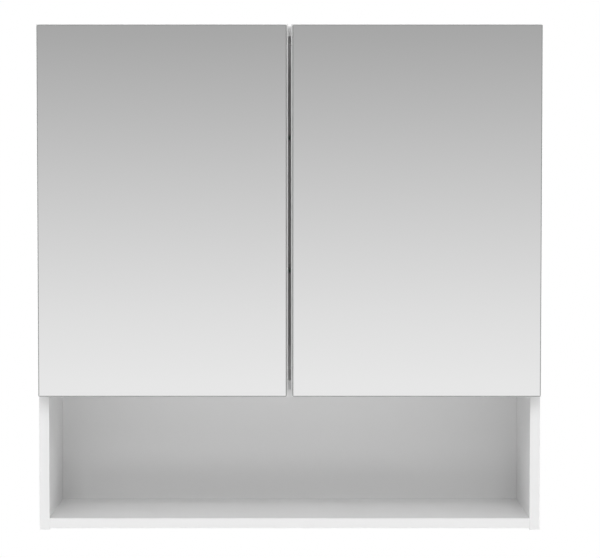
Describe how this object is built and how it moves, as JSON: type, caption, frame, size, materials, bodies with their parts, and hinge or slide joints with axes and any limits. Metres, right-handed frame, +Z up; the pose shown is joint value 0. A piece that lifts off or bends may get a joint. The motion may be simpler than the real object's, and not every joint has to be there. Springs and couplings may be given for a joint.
{
  "type": "bathroom mirror cabinet",
  "caption": "White wall cabinet with frameless mirror doors over an open niche; glass shelves inside, concealed cup hinges, magnetic catches and keyhole plates for hanging.",
  "frame": {"origin": "middle of the hanging rail's rear face, in the wall plane, midway between the keyhole plates", "axes": "+Z up, +Y into the wall, the mirror doors face -Y, +X to the right seen from the front"},
  "size_m": [0.6, 0.2, 0.6035],
  "materials": {
    "white_board": "white melamine on chipboard",
    "edge_band": "white edge band",
    "hardboard": "thin hardboard, white lacquer in front",
    "raw_board": "raw chipboard",
    "mirror": "silvered glass with ground edges",
    "shelf_glass": "clear float glass, polished edges",
    "foam_tape": "double-sided foam tape",
    "clear_bumper": "clear soft plastic",
    "nickel_steel": "nickel plated",
    "pin_steel": "bright",
    "screw_steel": "zinc plated, cross recess",
    "zinc_steel": "zinc plated sheet",
    "zinc_alloy": "die-cast",
    "beech": "fluted beech",
    "catch_plastic": "white moulded",
    "ferrite": "dark ferrite"
  },
  "bodies": {
    "carcass": {"adjusting_screws": "screw_steel", "back_panel": "hardboard", "bottom_panel": "white_board", "cam_bolts": "screw_steel", "cam_housings": "zinc_alloy", "catch_magnets": "ferrite", "catch_poles": "zinc_steel", "catch_screws": "screw_steel", "clamp_screws": "screw_steel", "compartment_floor": "white_board", "cross_board_bands": "edge_band", "dowels": "beech", "hanger_screws": "screw_steel", "hanging_rail": "raw_board", "left_catch_housing": "catch_plastic", "left_hanger_plate": "zinc_steel", "left_lower_hinge_arm": "nickel_steel", "left_lower_hinge_plate": "nickel_steel", "left_side_bands": "edge_band", "left_side_panel": "white_board", "left_upper_hinge_arm": "nickel_steel", "left_upper_hinge_plate": "nickel_steel", "lower_shelf": "shelf_glass", "plate_screws": "screw_steel", "right_catch_housing": "catch_plastic", "right_hanger_plate": "zinc_steel", "right_lower_hinge_arm": "nickel_steel", "right_lower_hinge_plate": "nickel_steel", "right_side_bands": "edge_band", "right_side_panel": "white_board", "right_upper_hinge_arm": "nickel_steel", "right_upper_hinge_plate": "nickel_steel", "shelf_supports": "nickel_steel", "top_panel": "white_board", "upper_shelf": "shelf_glass"},
    "left_door": {"left_door_board": "white_board", "left_door_bands": "edge_band", "left_mirror": "mirror", "left_mirror_tape": "foam_tape", "left_door_bumpers": "clear_bumper", "left_upper_hinge_cup": "nickel_steel", "left_lower_hinge_cup": "nickel_steel", "left_hinge_pins": "pin_steel", "left_cup_screws": "screw_steel", "left_strike_plate": "zinc_steel", "left_strike_screws": "screw_steel"},
    "right_door": {"right_door_board": "white_board", "right_door_bands": "edge_band", "right_mirror": "mirror", "right_mirror_tape": "foam_tape", "right_door_bumpers": "clear_bumper", "right_upper_hinge_cup": "nickel_steel", "right_lower_hinge_cup": "nickel_steel", "right_hinge_pins": "pin_steel", "right_cup_screws": "screw_steel", "right_strike_plate": "zinc_steel", "right_strike_screws": "screw_steel"}
  },
  "joints": [
    {"name": "left_door_swing", "type": "hinge", "parent": "carcass", "child": "left_door", "pos_m": [-0.29125, -0.18825, -0.17225], "axis": [0, 0, -1], "range_deg": [0, 95]},
    {"name": "right_door_swing", "type": "hinge", "parent": "carcass", "child": "right_door", "pos_m": [0.29125, -0.18825, -0.17225], "axis": [0, 0, 1], "range_deg": [0, 95]}
  ]
}
